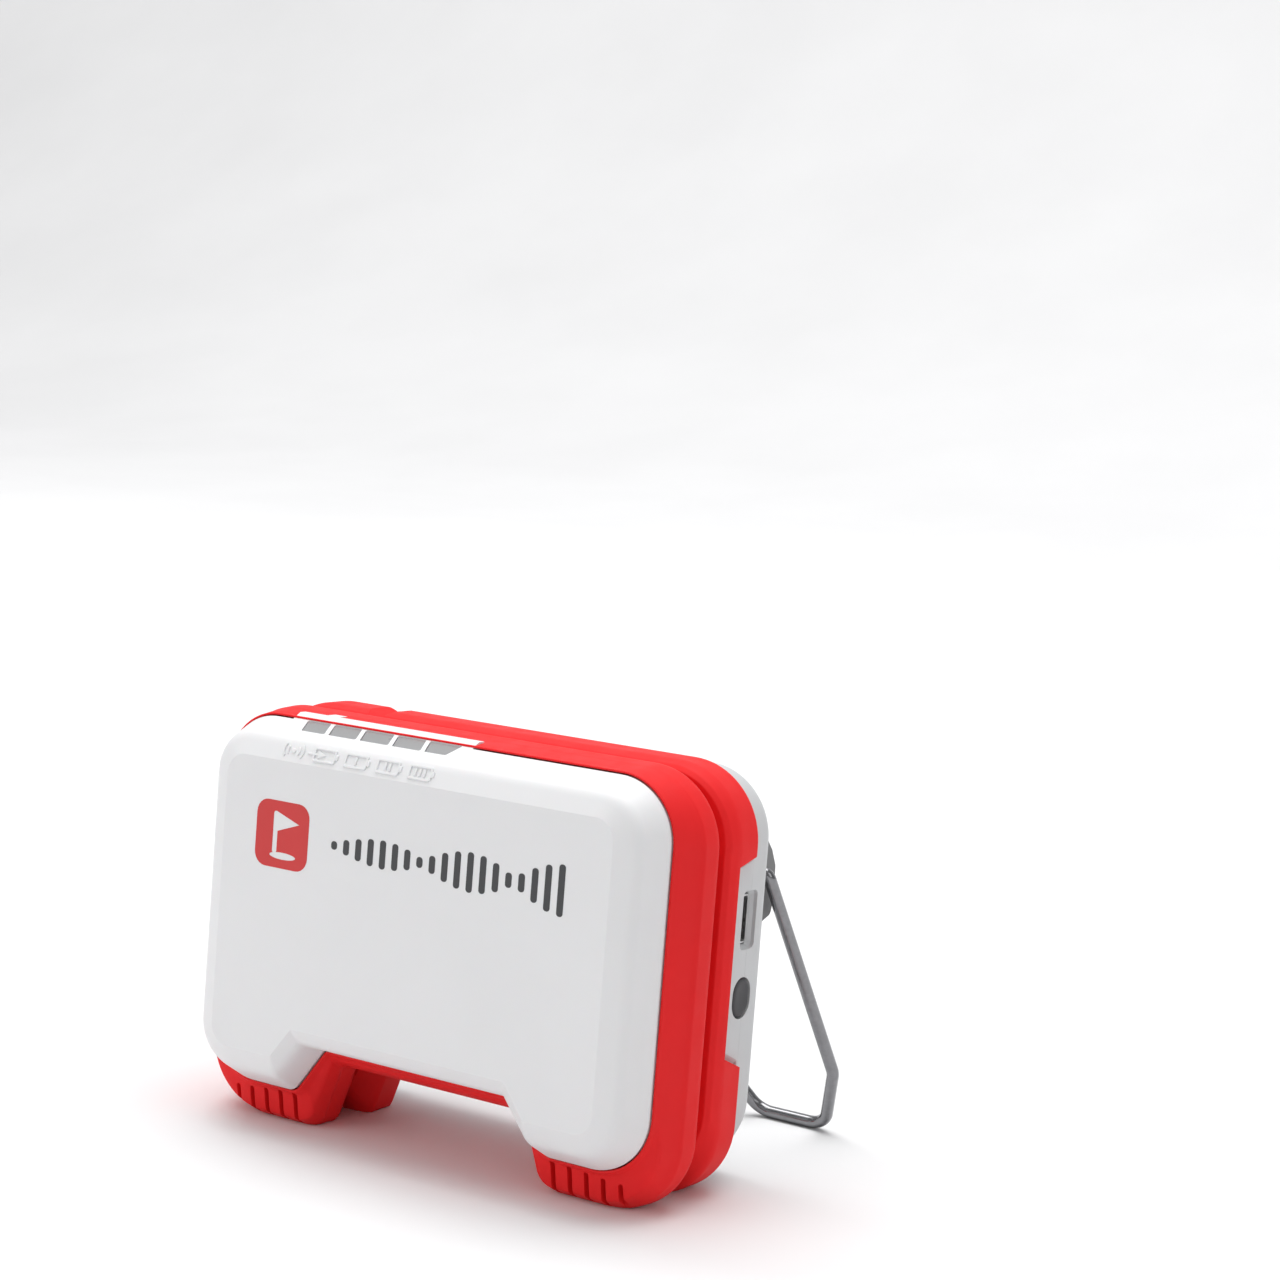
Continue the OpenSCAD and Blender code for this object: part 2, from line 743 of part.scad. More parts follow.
leaned() {
    front_cover();
    window(0);  // window_link
    window(1);  // window_charge
    window(2);  // window_low
    window(3);  // window_half
    window(4);  // window_full
    front_band();
    rear_band();
    chassis();
    rear_cover();
    rating_plate();
    hinge_block_left();
    hinge_block_right();
    hinge_bushing_left();
    hinge_bushing_right();
    stand_wire();
    power_button();
    switch_body();
    switch_plunger();
    side_board();
    usb_shell();
    usb_tongue();
    radar_board();
    antenna_patches();
    main_board();
    board_posts();
    board_screws();
    shield_can();
    radio_module();
    led_board();
    leds();
    light_guide_rib();
    battery_tray();
    battery_cell();
    battery_pad();
    cover_screws();
}
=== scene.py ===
import json
import math

import bmesh
import bpy
from mathutils import Matrix, Vector


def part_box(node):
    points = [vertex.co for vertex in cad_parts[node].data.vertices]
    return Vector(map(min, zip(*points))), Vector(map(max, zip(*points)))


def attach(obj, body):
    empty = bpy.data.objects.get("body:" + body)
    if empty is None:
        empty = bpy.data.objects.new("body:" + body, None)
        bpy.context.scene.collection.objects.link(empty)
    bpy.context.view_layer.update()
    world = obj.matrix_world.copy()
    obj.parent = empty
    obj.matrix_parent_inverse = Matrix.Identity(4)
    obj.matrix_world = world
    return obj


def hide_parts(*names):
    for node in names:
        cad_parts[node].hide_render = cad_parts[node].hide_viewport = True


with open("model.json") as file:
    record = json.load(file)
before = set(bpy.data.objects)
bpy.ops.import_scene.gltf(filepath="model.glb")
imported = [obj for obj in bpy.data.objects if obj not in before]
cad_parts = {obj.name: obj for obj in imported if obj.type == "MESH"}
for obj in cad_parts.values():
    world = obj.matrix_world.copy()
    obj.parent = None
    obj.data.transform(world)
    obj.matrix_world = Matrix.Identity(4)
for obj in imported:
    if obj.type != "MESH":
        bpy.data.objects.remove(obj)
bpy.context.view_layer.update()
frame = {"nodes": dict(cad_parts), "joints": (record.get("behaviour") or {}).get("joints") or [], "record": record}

BODY = "case"

# ---------------------------------------------------------------- the case's own upright frame, in mm
REST_Y = 14.5          # depth at which the feet meet the ground
HINGE_Y = 36.7         # stand hinge, behind the face
HINGE_Z = 48.4         # stand hinge, above the feet
STAND_LEN = 50.7       # hinge axis to the bars on the ground


def mount(name):
    return next(m for m in frame["record"]["mounts"] if m["name"] == name)


def joint(name):
    return next(j for j in frame["joints"] if j["name"] == name)


foot_at = Vector(mount("foot_right")["pos_m"]) * 1000
hinge_at = Vector(joint("stand_hinge")["pos_m"]) * 1000
upright = math.atan2(HINGE_Y - REST_Y, HINGE_Z)
LEAN = math.atan2(hinge_at.y - foot_at.y, hinge_at.z - foot_at.z) - upright
TILT = Matrix.Rotation(-LEAN, 4, "X")
SHIFT = hinge_at - TILT @ Vector((0, HINGE_Y, HINGE_Z))
CASE = Matrix.Scale(0.001, 4) @ Matrix.Translation(SHIFT) @ TILT

HALF_W = round(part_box("front_band")[1].x * 1000, 2)
CASE_H = 66.0
GROUND_TAN = math.tan(LEAN)


def ground_z(y):
    return (y - REST_Y) * GROUND_TAN


# ---------------------------------------------------------------- outlines of the case
# (half width, top, bottom, arch top half width, arch height, arch mouth half width,
#  top radius, outer foot radius, inner foot radius, arch radius)
RIM_Y = 6.95
CHAMFER_Y = 1.5
CHAMFER_OUT = 3.5
RIM_OUT = 5.8
WALL = 1.6
BROW_Y = 7.9
TOE_Y = 8.6
FLARE_Y = 11.2
BAND_Y = 15.1
GROOVE_Y = 17.6
REAR_Y0 = 19.6
LIP_Y = 21.5
REAR_Y1 = 27.1
BACK_RIM_Y = 31.7
BACK_Y = 35.1
GROOVE_D = 2.8

FACE = (36.4, 59.1, 12.6, 20.4, 17.7, 24.3, 3.4, 3.4, 0.8, 0.8)
EDGE = (36.4 + CHAMFER_OUT, 59.1 + CHAMFER_OUT, 12.6 - CHAMFER_OUT, 19.35, 15.2, 24.2, 6.9, 6.9, 1.4, 0.8)
RIM = (36.4 + RIM_OUT, 59.1 + RIM_OUT, 11.7 - RIM_OUT, 18.65, 13.5, 24.2, 9.6, 9.6, 2.2, 0.8)
LIP = (RIM[0], RIM[1] - 0.4, RIM[2] + 0.2, RIM[3], RIM[4] + 0.2, RIM[5], 9.4, 9.4, 2.2, 0.8)
FLOOR = (HALF_W - GROOVE_D, CASE_H - GROOVE_D, 5.2, 19.7, 13.4, 25.1, 12 - GROOVE_D, 12 - GROOVE_D, 2, 0.8)
BROW = (HALF_W - 2.1, CASE_H - 0.7, 5, 18.5, 12.6, 22.9, 10.2, 10.2, 2.6, 0.9)
TOE = (HALF_W - 1.8, CASE_H - 0.6, 1, 18.5, 11.8, 22.3, 10.5, 10.5, 3.2, 1)
FLARE = (HALF_W - 0.8, CASE_H - 0.35, ground_z(FLARE_Y) - 0.2, 18.4, 10.5, 22.2, 11.3, 11.3, 3.6, 1)
BAND = (HALF_W, CASE_H, -0.9, 18.7, 10.1, 22.4, 12, 12, 3.2, 1)
REAR = (HALF_W, CASE_H, -0.4, 16.8, 10.1, 20.4, 12, 12, 3.2, 1)
SKIRT = (HALF_W - 1.6, CASE_H - 1.6, 4, 19, 12.2, 24.3, 10.4, 10.4, 2, 0.8)
BACK_RIM = (HALF_W - 1.1, CASE_H - 1.1, 3.4, 19.2, 11.4, 24.2, 10.9, 10.9, 2, 0.8)
INNER = (HALF_W - 6.1, CASE_H - 5, 9.8, 22.2, 17, 26.8, 8, 8, 1, 0.5)


def grown(s, d):
    """The same outline, larger by d all round."""
    return (s[0] + d, s[1] + d, s[2] - d, s[3] - d * 0.7, s[4] - d, s[5] - d * 0.6,
            max(s[6] + d, 0.4), max(s[7] + d, 0.4), max(s[8] + d * 0.5, 0.3), max(s[9] - d * 0.5, 0.3))


BACK = grown(BACK_RIM, -3)
BIG_ARC, FOOT_ARC, ARCH_ARC = 20, 8, 5


def corner(a, v, b, r, n):
    """Points of the rounded corner at v, between its neighbours a and b."""
    u, w = (a - v).normalized(), (b - v).normalized()
    half = math.acos(max(-1, min(1, u.dot(w)))) / 2
    centre = v + (u + w).normalized() * (r / math.sin(half))
    p, q = v + u * (r / math.tan(half)) - centre, v + w * (r / math.tan(half)) - centre
    start = math.atan2(p.y, p.x)
    turn = math.atan2(q.y, q.x) - start
    turn = (turn + math.pi) % (2 * math.pi) - math.pi
    return [centre + r * Vector((math.cos(start + turn * i / n), math.sin(start + turn * i / n)))
            for i in range(n + 1)]


def rounded(points, radii, counts):
    n = len(points)
    pts = [Vector(p) for p in points]
    return [q for i in range(n) for q in corner(pts[i - 1], pts[i], pts[(i + 1) % n], radii[i], counts[i])]


def outline(s):
    w, t, b, ax, az, fx, rt, rf, ri, ra = s
    points = [(fx, b), (w, b), (w, t), (-w, t), (-w, b), (-fx, b), (-ax, az), (ax, az)]
    return rounded(points, [ri, rf, rt, rt, rf, ri, ra, ra],
                   [FOOT_ARC, BIG_ARC, BIG_ARC, BIG_ARC, BIG_ARC, FOOT_ARC, ARCH_ARC, ARCH_ARC])


def soften(sections, closed=False, steps=5):
    """Rounds the profile at each section [depth, outline, radius] with a short curve."""
    flat = [((y, *s), r) for y, s, r in sections]
    n = len(flat)
    out = []
    for i, (v, r) in enumerate(flat):
        if r == 0 or (not closed and i in (0, n - 1)):
            out.append(v)
            continue
        a, b = flat[i - 1][0], flat[(i + 1) % n][0]
        la = math.hypot(a[0] - v[0], a[1] - v[1]) or 1
        lb = math.hypot(b[0] - v[0], b[1] - v[1]) or 1
        ta, tb = min(r / la, 0.45), min(r / lb, 0.45)
        for k in range(steps + 1):
            t = k / steps
            p = [x + (y - x) * ta for x, y in zip(v, a)]
            q = [x + (y - x) * tb for x, y in zip(v, b)]
            out.append(tuple((1 - t) ** 2 * x + 2 * t * (1 - t) * m + t * t * y for x, m, y in zip(p, v, q)))
    return out


# ---------------------------------------------------------------- materials
materials = {}


def node_material(name):
    m = bpy.data.materials.new(name)
    m.use_nodes = True
    materials[name] = m
    return m, m.node_tree.nodes, m.node_tree.links, m.node_tree.nodes["Principled BSDF"]


def noise(nodes, links, scale, detail=3.0, rough=0.55):
    """Noise in the piece's own metres."""
    coords = nodes.new("ShaderNodeTexCoord")
    tex = nodes.new("ShaderNodeTexNoise")
    tex.inputs["Scale"].default_value = scale
    tex.inputs["Detail"].default_value = detail
    tex.inputs["Roughness"].default_value = rough
    links.new(coords.outputs["Object"], tex.inputs["Vector"])
    return tex.outputs["Fac"]


def ramp(nodes, links, source, low, high, at=(0.35, 0.65)):
    r = nodes.new("ShaderNodeValToRGB")
    r.color_ramp.elements[0].position, r.color_ramp.elements[1].position = at
    r.color_ramp.elements[0].color = (*low, 1)
    r.color_ramp.elements[1].color = (*high, 1)
    links.new(source, r.inputs["Fac"])
    return r.outputs["Color"]


def remap(nodes, links, source, low, high):
    r = nodes.new("ShaderNodeMapRange")
    r.inputs["From Min"].default_value = 0.3
    r.inputs["From Max"].default_value = 0.7
    r.inputs["To Min"].default_value = low
    r.inputs["To Max"].default_value = high
    links.new(source, r.inputs["Value"])
    return r.outputs["Result"]


def bump(nodes, links, shader, source, strength, depth):
    b = nodes.new("ShaderNodeBump")
    b.inputs["Strength"].default_value = strength
    b.inputs["Distance"].default_value = depth
    links.new(source, b.inputs["Height"])
    links.new(b.outputs["Normal"], shader.inputs["Normal"])


def shade(colour, k):
    return tuple(c * k for c in colour)


def moulded(name, colour, roughness, grain=9000, depth=0.00002, drift=0.04, sub=0.0, coat=0.0,
            specular=0.5):
    """Moulded plastic or rubber: slow colour drift, patchy gloss and a fine spark-eroded grain."""
    m, nodes, links, shader = node_material(name)
    slow = noise(nodes, links, 55)
    links.new(ramp(nodes, links, slow, shade(colour, 1 - drift), colour), shader.inputs["Base Color"])
    patch = noise(nodes, links, 260)
    links.new(remap(nodes, links, patch, roughness - 0.05, roughness + 0.06), shader.inputs["Roughness"])
    bump(nodes, links, shader, noise(nodes, links, grain, 2.0, 0.6), 0.35, depth)
    shader.inputs["Subsurface Weight"].default_value = sub
    shader.inputs["Subsurface Scale"].default_value = 0.001
    shader.inputs["Specular IOR Level"].default_value = specular
    shader.inputs["Coat Weight"].default_value = coat
    shader.inputs["Coat Roughness"].default_value = 0.25
    return m


def metal(name, colour, low, high, scale=900, stretch=(1, 1, 1), depth=0.00001):
    """Metal with drawn or brushed streaks in its gloss."""
    m, nodes, links, shader = node_material(name)
    coords = nodes.new("ShaderNodeTexCoord")
    mapping = nodes.new("ShaderNodeMapping")
    mapping.inputs["Scale"].default_value = stretch
    tex = nodes.new("ShaderNodeTexNoise")
    tex.inputs["Scale"].default_value = scale
    tex.inputs["Detail"].default_value = 4
    links.new(coords.outputs["Object"], mapping.inputs["Vector"])
    links.new(mapping.outputs["Vector"], tex.inputs["Vector"])
    links.new(remap(nodes, links, tex.outputs["Fac"], low, high), shader.inputs["Roughness"])
    links.new(ramp(nodes, links, tex.outputs["Fac"], shade(colour, 0.9), colour), shader.inputs["Base Color"])
    bump(nodes, links, shader, tex.outputs["Fac"], 0.15, depth)
    shader.inputs["Metallic"].default_value = 1
    return m


def circuit(name):
    """Green solder mask with copper tracks showing through it."""
    m, nodes, links, shader = node_material(name)
    coords = nodes.new("ShaderNodeTexCoord")
    tracks = nodes.new("ShaderNodeTexBrick")
    tracks.inputs["Scale"].default_value = 260
    tracks.inputs["Mortar Size"].default_value = 0.035
    tracks.inputs["Color1"].default_value = (0.012, 0.085, 0.03, 1)
    tracks.inputs["Color2"].default_value = (0.015, 0.11, 0.04, 1)
    tracks.inputs["Mortar"].default_value = (0.05, 0.22, 0.07, 1)
    links.new(coords.outputs["Object"], tracks.inputs["Vector"])
    links.new(tracks.outputs["Color"], shader.inputs["Base Color"])
    links.new(remap(nodes, links, noise(nodes, links, 400), 0.25, 0.4), shader.inputs["Roughness"])
    bump(nodes, links, shader, tracks.outputs["Fac"], 0.2, 0.00003)
    return m


WHITE = (0.80, 0.80, 0.81)
RED = (0.83, 0.018, 0.020)
moulded("white_shell", WHITE, 0.46, drift=0.015, sub=0.04)
moulded("red_rubber", RED, 0.58, grain=7000, depth=0.00003, drift=0.07, specular=0.16)
moulded("red_frame", shade(RED, 0.8), 0.55, drift=0.06, specular=0.12)
moulded("pale_shell", (0.58, 0.59, 0.60), 0.48, drift=0.03)
moulded("grey_trim", (0.19, 0.19, 0.195), 0.5, drift=0.08)
moulded("dark_button", (0.07, 0.07, 0.075), 0.55, drift=0.1, specular=0.3)
moulded("dark_plastic", (0.012, 0.012, 0.013), 0.4, drift=0.2)
moulded("light_window", (0.28, 0.285, 0.29), 0.32, grain=14000, depth=0.00001, drift=0.06, coat=0.4)
moulded("led_lens", (0.9, 0.88, 0.7), 0.3, drift=0.1, coat=0.5)
moulded("foam", (0.03, 0.03, 0.032), 0.9, grain=3500, depth=0.0002, drift=0.4)
moulded("ink_grey", (0.045, 0.046, 0.05), 0.42, drift=0.06)
moulded("ink_red", (0.62, 0.03, 0.03), 0.42, drift=0.05)
metal("stand_steel", (0.25, 0.25, 0.26), 0.10, 0.2, 1400, (0.4, 1, 1))
metal("tin_plate", (0.72, 0.72, 0.72), 0.22, 0.38, 1200, (1, 1, 0.1))
metal("screw_steel", (0.5, 0.5, 0.52), 0.25, 0.4, 1600)
metal("brass", (0.78, 0.56, 0.26), 0.2, 0.36, 1500, (0.1, 1, 1))
metal("gold_plate", (0.9, 0.68, 0.3), 0.2, 0.3, 900)
metal("cell_foil", (0.74, 0.75, 0.77), 0.3, 0.45, 300)
circuit("circuit_board")


# ---------------------------------------------------------------- making pieces
def add_piece(name, bm, material, body=BODY, node=None, bevel=0.0, segments=2, angle=32,
              smooth=True):
    """Turns a mesh in the case's millimetres into a piece that rides on a body."""
    bmesh.ops.recalc_face_normals(bm, faces=bm.faces)
    mesh = bpy.data.meshes.new(name)
    bm.to_mesh(mesh)
    bm.free()
    mesh.transform(CASE)
    mesh.materials.append(materials[material])
    piece = bpy.data.objects.new(name, mesh)
    bpy.context.scene.collection.objects.link(piece)
    if smooth:
        mesh.polygons.foreach_set("use_smooth", [True] * len(mesh.polygons))
        mesh.set_sharp_from_angle(angle=math.radians(angle))
    if bevel:
        b = piece.modifiers.new("edges", "BEVEL")
        b.width = bevel / 1000
        b.segments = segments
        b.limit_method = "ANGLE"
        b.angle_limit = math.radians(angle)
        b.miter_outer = "MITER_ARC"
        b.use_clamp_overlap = True
        b.harden_normals = False
    if smooth:
        w = piece.modifiers.new("normals", "WEIGHTED_NORMAL")
        w.keep_sharp = not bevel
        w.weight = 90
    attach(piece, body)
    if node:
        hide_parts(*([node] if isinstance(node, str) else node))
    return piece


def bridge(bm, rings, closed=False, caps=True):
    """Quads between rings of as many vertices, with the two ends filled."""
    n = len(rings[0])
    m = len(rings)
    for j in range(m if closed else m - 1):
        a, b = rings[j], rings[(j + 1) % m]
        for i in range(n):
            bm.faces.new((a[i], a[(i + 1) % n], b[(i + 1) % n], b[i]))
    if caps and not closed:
        bm.faces.new(rings[0])
        bm.faces.new(rings[-1])


def skin(sections, closed=False, flatten=False):
    """A lofted skin through softened sections; flatten presses it onto the ground plane."""
    bm = bmesh.new()
    rings = []
    for s in sections:
        y = s[0]
        low = ground_z(y) if flatten else -1e9
        rings.append([bm.verts.new((p.x, y, max(p.y, low))) for p in outline(s[1:])])
    bridge(bm, rings, closed)
    bmesh.ops.remove_doubles(bm, verts=bm.verts, dist=0.001)
    return bm


def place(point, axis, d):
    """A point of a flat outline at d along an axis: X takes (y, z), Y takes (x, z) and Z takes (x, y)."""
    p, q = point
    return {"X": (d, p, q), "Y": (p, d, q), "Z": (p, q, d)}[axis]


def tapered(points, inner, axis, low, high, bm=None):
    """A flat outline pushed along an axis to another outline with as many points."""
    bm = bm or bmesh.new()
    a = [bm.verts.new(place(p, axis, low)) for p in points]
    b = [bm.verts.new(place(p, axis, high)) for p in inner]
    n = len(points)
    bm.faces.new(a)
    bm.faces.new(list(reversed(b)))
    for i in range(n):
        bm.faces.new((a[i], b[i], b[(i + 1) % n], a[(i + 1) % n]))
    return bm


def prism(points, axis, low, high, bm=None):
    return tapered(points, points, axis, low, high, bm)


def rounded_box(cx, cy, w, h, r, n=6):
    """Points of a rounded rectangle."""
    pts = [(cx + i * w / 2, cy + j * h / 2) for i, j in ((-1, -1), (1, -1), (1, 1), (-1, 1))]
    return [(p.x, p.y) for p in rounded(pts, [r] * 4, [n] * 4)]


def stadium(cy, cz, w, h, n=14):
    """Points of an upright oval slot."""
    return rounded_box(cy, cz, w, h, w / 2 - 0.001, n)


def boolean(bm, cutters, operation="DIFFERENCE"):
    """Cuts meshes out of bm, all in the case's millimetres."""
    base = bpy.data.meshes.new("base")
    bmesh.ops.recalc_face_normals(bm, faces=bm.faces)
    bm.to_mesh(base)
    bm.free()
    work = bpy.data.objects.new("work", base)
    bpy.context.scene.collection.objects.link(work)
    tools = []
    for c in cutters:
        bmesh.ops.recalc_face_normals(c, faces=c.faces)
        mesh = bpy.data.meshes.new("tool")
        c.to_mesh(mesh)
        c.free()
        tool = bpy.data.objects.new("tool", mesh)
        bpy.context.scene.collection.objects.link(tool)
        tools.append(tool)
        mod = work.modifiers.new("cut", "BOOLEAN")
        mod.operation = operation
        mod.solver = "EXACT"
        mod.object = tool
    depsgraph = bpy.context.evaluated_depsgraph_get()
    result = bpy.data.meshes.new_from_object(work.evaluated_get(depsgraph))
    out = bmesh.new()
    out.from_mesh(result)
    for o in [work, *tools]:
        mesh = o.data
        bpy.data.objects.remove(o)
        bpy.data.meshes.remove(mesh)
    bpy.data.meshes.remove(result)
    bmesh.ops.remove_doubles(out, verts=out.verts, dist=0.002)
    return out


# ---------------------------------------------------------------- light windows
WIN_Y0, WIN_Y1 = 3.9, 7.0
WIN_X = [(-25.4, -20.8), (-20.0, -14.6), (-13.8, -8.3), (-7.5, -2.1), (-1.3, 2.7)]
WIN_NODES = ["window_link", "window_charge", "window_low", "window_half", "window_full"]
WIN_SKEW = 1.2
SLOPE = (RIM_OUT - CHAMFER_OUT) / (RIM_Y - CHAMFER_Y)
TAB = (-29.5, 5.6, 8.4, 65.7)      # left end, right end, back edge and height of the tab's crest
TAB_FOOT = 63.9                    # height of the tab's underside


def slope_z(y):
    """Height of the front cover's sloping top at depth y."""
    return FACE[1] + CHAMFER_OUT + (y - CHAMFER_Y) * SLOPE


def window_shape(i, gap):
    x0, x1 = WIN_X[i]
    right = 0.9 if i == 4 else -WIN_SKEW
    pts = [(x0 + gap, WIN_Y0 + gap), (x1 - gap, WIN_Y0 + gap),
           (x1 + right - gap, WIN_Y1 - gap), (x0 - WIN_SKEW + gap, WIN_Y1 - gap)]
    return [(p.x, p.y) for p in rounded(pts, [0.25] * 4, [3] * 4)]


def light_window(i):
    """A smoked light window, a little below the cover's slope, with a dished top."""
    bm = bmesh.new()
    shape = window_shape(i, 0.06)
    mid = Vector((sum(p[0] for p in shape) / len(shape), sum(p[1] for p in shape) / len(shape)))
    levels = [(1.0, -2.0), (1.0, -0.28), (0.97, -0.16), (0.93, -0.12), (0.6, -0.13)]
    rings = []
    for scale, down in levels:
        ring = []
        for p in shape:
            q = mid + (Vector(p) - mid) * scale
            z = 61.6 if down == -2.0 else slope_z(q.y) + down
            ring.append(bm.verts.new((q.x, q.y, z)))
        rings.append(ring)
    bridge(bm, rings)
    add_piece(WIN_NODES[i] + "_lens", bm, "light_window", node=WIN_NODES[i])


def tab_outline():
    return [(5.6, 63.9), (RIM_Y - 0.05, RIM[1] - 0.03), (TAB[2] - 0.25, TAB[3] - 0.12), (TAB[2], TAB[3]),
            (TAB[2] + 1.2, TAB[3]), (TAB[2] + 1.2, 63.9)]


def tab_tongue(gap, low, high):
    """The narrow tongue behind the tab; a gap makes room for it in the rubber."""
    x0, x1, y0, y1 = -25 - gap, -22.6 + gap, TAB[2], TAB[2] + 3.2 + gap
    return prism([(x0, y0), (x1, y0), (x1, y1), (x0, y1)], "Z", low, high)


# ---------------------------------------------------------------- shells and bands
def front_cover():
    sections = soften([
        (0, FACE, 0), (0.02, grown(FACE, 0.06), 0), (CHAMFER_Y, EDGE, 1.3),
        (RIM_Y - 0.25, grown(RIM, -0.12), 0.25),
        (RIM_Y, grown(RIM, -0.25), 0), (RIM_Y + 3.5, LIP, 0), (RIM_Y + 3.5, grown(LIP, -WALL), 0),
        (RIM_Y, grown(RIM, -WALL), 0.5), (CHAMFER_Y + 1, grown(EDGE, -WALL + 0.2), 0.5),
        (WALL, grown(FACE, -0.2), 0)])
    bm = skin(sections)
    cutters = [prism(window_shape(i, 0), "Z", 55, 75) for i in range(5)]
    tab = prism(tab_outline(), "X", TAB[0], TAB[1])
    bm = boolean(bm, [tab], "UNION")
    tongue = tab_tongue(0, TAB_FOOT, TAB[3])
    bm = boolean(bm, [tongue], "UNION")
    bm = boolean(bm, cutters)
    add_piece("front_cover_shell", bm, "white_shell", node="front_cover", bevel=0.16, segments=3, angle=28)


def tab_gap(gap):
    """Room for the tab, cut out of the front band."""
    pts = [(5, 63), (RIM_Y, RIM[1] - 0.4), (TAB[2], TAB[3] + 3), (TAB[2] + 1.2 + gap, TAB[3] + 3),
           (TAB[2] + 1.2 + gap, 63.9 - gap), (5, 63)]
    return prism(pts[:-1], "X", TAB[0] - gap, TAB[1] + gap)


SLITS = 5
SLIT_X = 25
SLIT_PITCH = 3.0
SLIT_W = 0.85
SLIT_TILT = math.radians(20)


def slit(side, i):
    """A grip slit: an upright slot with round ends, cut into the front of a foot."""
    top = 6.3 - i * 0.32
    shape = rounded_box(0, top / 2 - 1.5, SLIT_W, top + 3, SLIT_W / 2 - 0.01, 4)
    bm = prism(shape, "Y", -5, 0)
    at = Matrix.Translation((side * (SLIT_X + i * SLIT_PITCH), FLARE_Y - 0.4, 0))
    bm.transform(at @ Matrix.Rotation(SLIT_TILT, 4, "X"))
    return bm


def front_band():
    sections = soften([
        (RIM_Y, grown(RIM, 0.34), 0.2), (BROW_Y, BROW, 0.3), (TOE_Y, TOE, 0.4), (FLARE_Y, FLARE, 1.2),
        (FLARE_Y + 0.8, grown(BAND, -0.22), 0.3),
        (BAND_Y, BAND, 0.7), (BAND_Y + 0.9, grown(BAND, -0.4), 0.3), (GROOVE_Y, grown(FLOOR, 0.06), 0),
        (RIM_Y + 3.6, grown(FLOOR, 0.06), 0), (RIM_Y + 3.55, grown(LIP, 0.06), 0),
        (RIM_Y, grown(RIM, 0.04), 0)], closed=True)
    bm = skin(sections, closed=True, flatten=True)
    tongue = tab_tongue(0.1, TAB_FOOT - 0.1, 70)
    slits = [slit(side, i) for side in (-1, 1) for i in range(SLITS)]
    bm = boolean(bm, [tab_gap(0.08), tongue, *slits])
    add_piece("front_bumper", bm, "red_rubber", node="front_band", bevel=0.14, segments=2, angle=34)


NOTCH = [(LIP_Y + 0.3, 22.4), (REAR_Y1 + 1, 19.8), (REAR_Y1 + 1, 53.0), (LIP_Y + 0.3, 51.4)]


def rear_band():
    sections = soften([
        (REAR_Y0 - 0.5, grown(FLOOR, 0.06), 0), (REAR_Y0 - 0.5, grown(SKIRT, 0.3), 0.15),
        (REAR_Y0 + 0.2, grown(SKIRT, 1.0), 0.25), (LIP_Y, REAR, 0.7), (REAR_Y1 - 0.6, REAR, 0.4),
        (REAR_Y1, grown(REAR, -0.5), 0.2), (REAR_Y1, grown(SKIRT, 0.06), 0),
        (REAR_Y0 + 0.05, grown(SKIRT, 0.06), 0), (REAR_Y0 + 0.05, grown(FLOOR, 0.06), 0)], closed=True)
    bm = skin(sections, closed=True, flatten=True)
    notch = prism(NOTCH, "X", HALF_W - 6, HALF_W + 2)
    seam = prism([(-26.2, CASE_H + 0.2), (-23.9, CASE_H - 1.2), (-22.3, CASE_H - 1.2), (-21.2, CASE_H + 0.2)],
                 "Y", 18, 30)
    bm = boolean(bm, [notch, seam])
    add_piece("rear_bumper", bm, "red_rubber", node="rear_band", bevel=0.18, segments=3, angle=30)


def chassis():
    sections = soften([
        (RIM_Y + 2, grown(LIP, -WALL - 0.08), 0), (RIM_Y + 3.62, grown(LIP, -WALL - 0.08), 0),
        (RIM_Y + 3.68, grown(FLOOR, -0.04), 0), (REAR_Y0 - 0.02, grown(FLOOR, -0.04), 0),
        (REAR_Y0, grown(SKIRT, -WALL - 0.1), 0), (25, grown(SKIRT, -WALL - 0.1), 0), (25, INNER, 0),
        (RIM_Y + 2, INNER, 0)], closed=True)
    add_piece("chassis_ring", skin(sections, closed=True), "red_frame", node="chassis", angle=30)


PORT_Y, PORT_Z = 27.4, 42.7
BUTTON_Y, BUTTON_Z = 27.0, 30.8
PANEL_X = HALF_W - 1.6
PAD_X = HALF_W - 1.12           # outer face of the side panel
COVER_SCREWS = [(-34, 58.5), (34, 58.5), (-33.5, 13.5), (33.5, 13.5)]
PLATE = (0, 32, 34, 16)            # middle across and up, width and height of the rating plate's recess


def circle(cx, cy, r, n=32):
    turn = 2 * math.pi / n
    return [(cx + r * math.cos(turn * k), cy + r * math.sin(turn * k)) for k in range(n)]


def side_pad():
    """The side panel, which fills the rear band's opening, with a bevelled border."""
    outer = [(LIP_Y + 0.6, 22.7), (REAR_Y1 + 0.5, 20.5), (REAR_Y1 + 0.5, 52.4), (LIP_Y + 0.6, 51.1)]
    inner = [(LIP_Y + 1.1, 23.25), (REAR_Y1 + 0.3, 21.2), (REAR_Y1 + 0.3, 51.75), (LIP_Y + 1.1, 50.6)]
    bm = tapered(outer, inner, "X", PAD_X - 0.42, PAD_X)
    return boolean(bm, [prism(outer, "X", PAD_X - 0.68, PAD_X - 0.42)], "UNION")


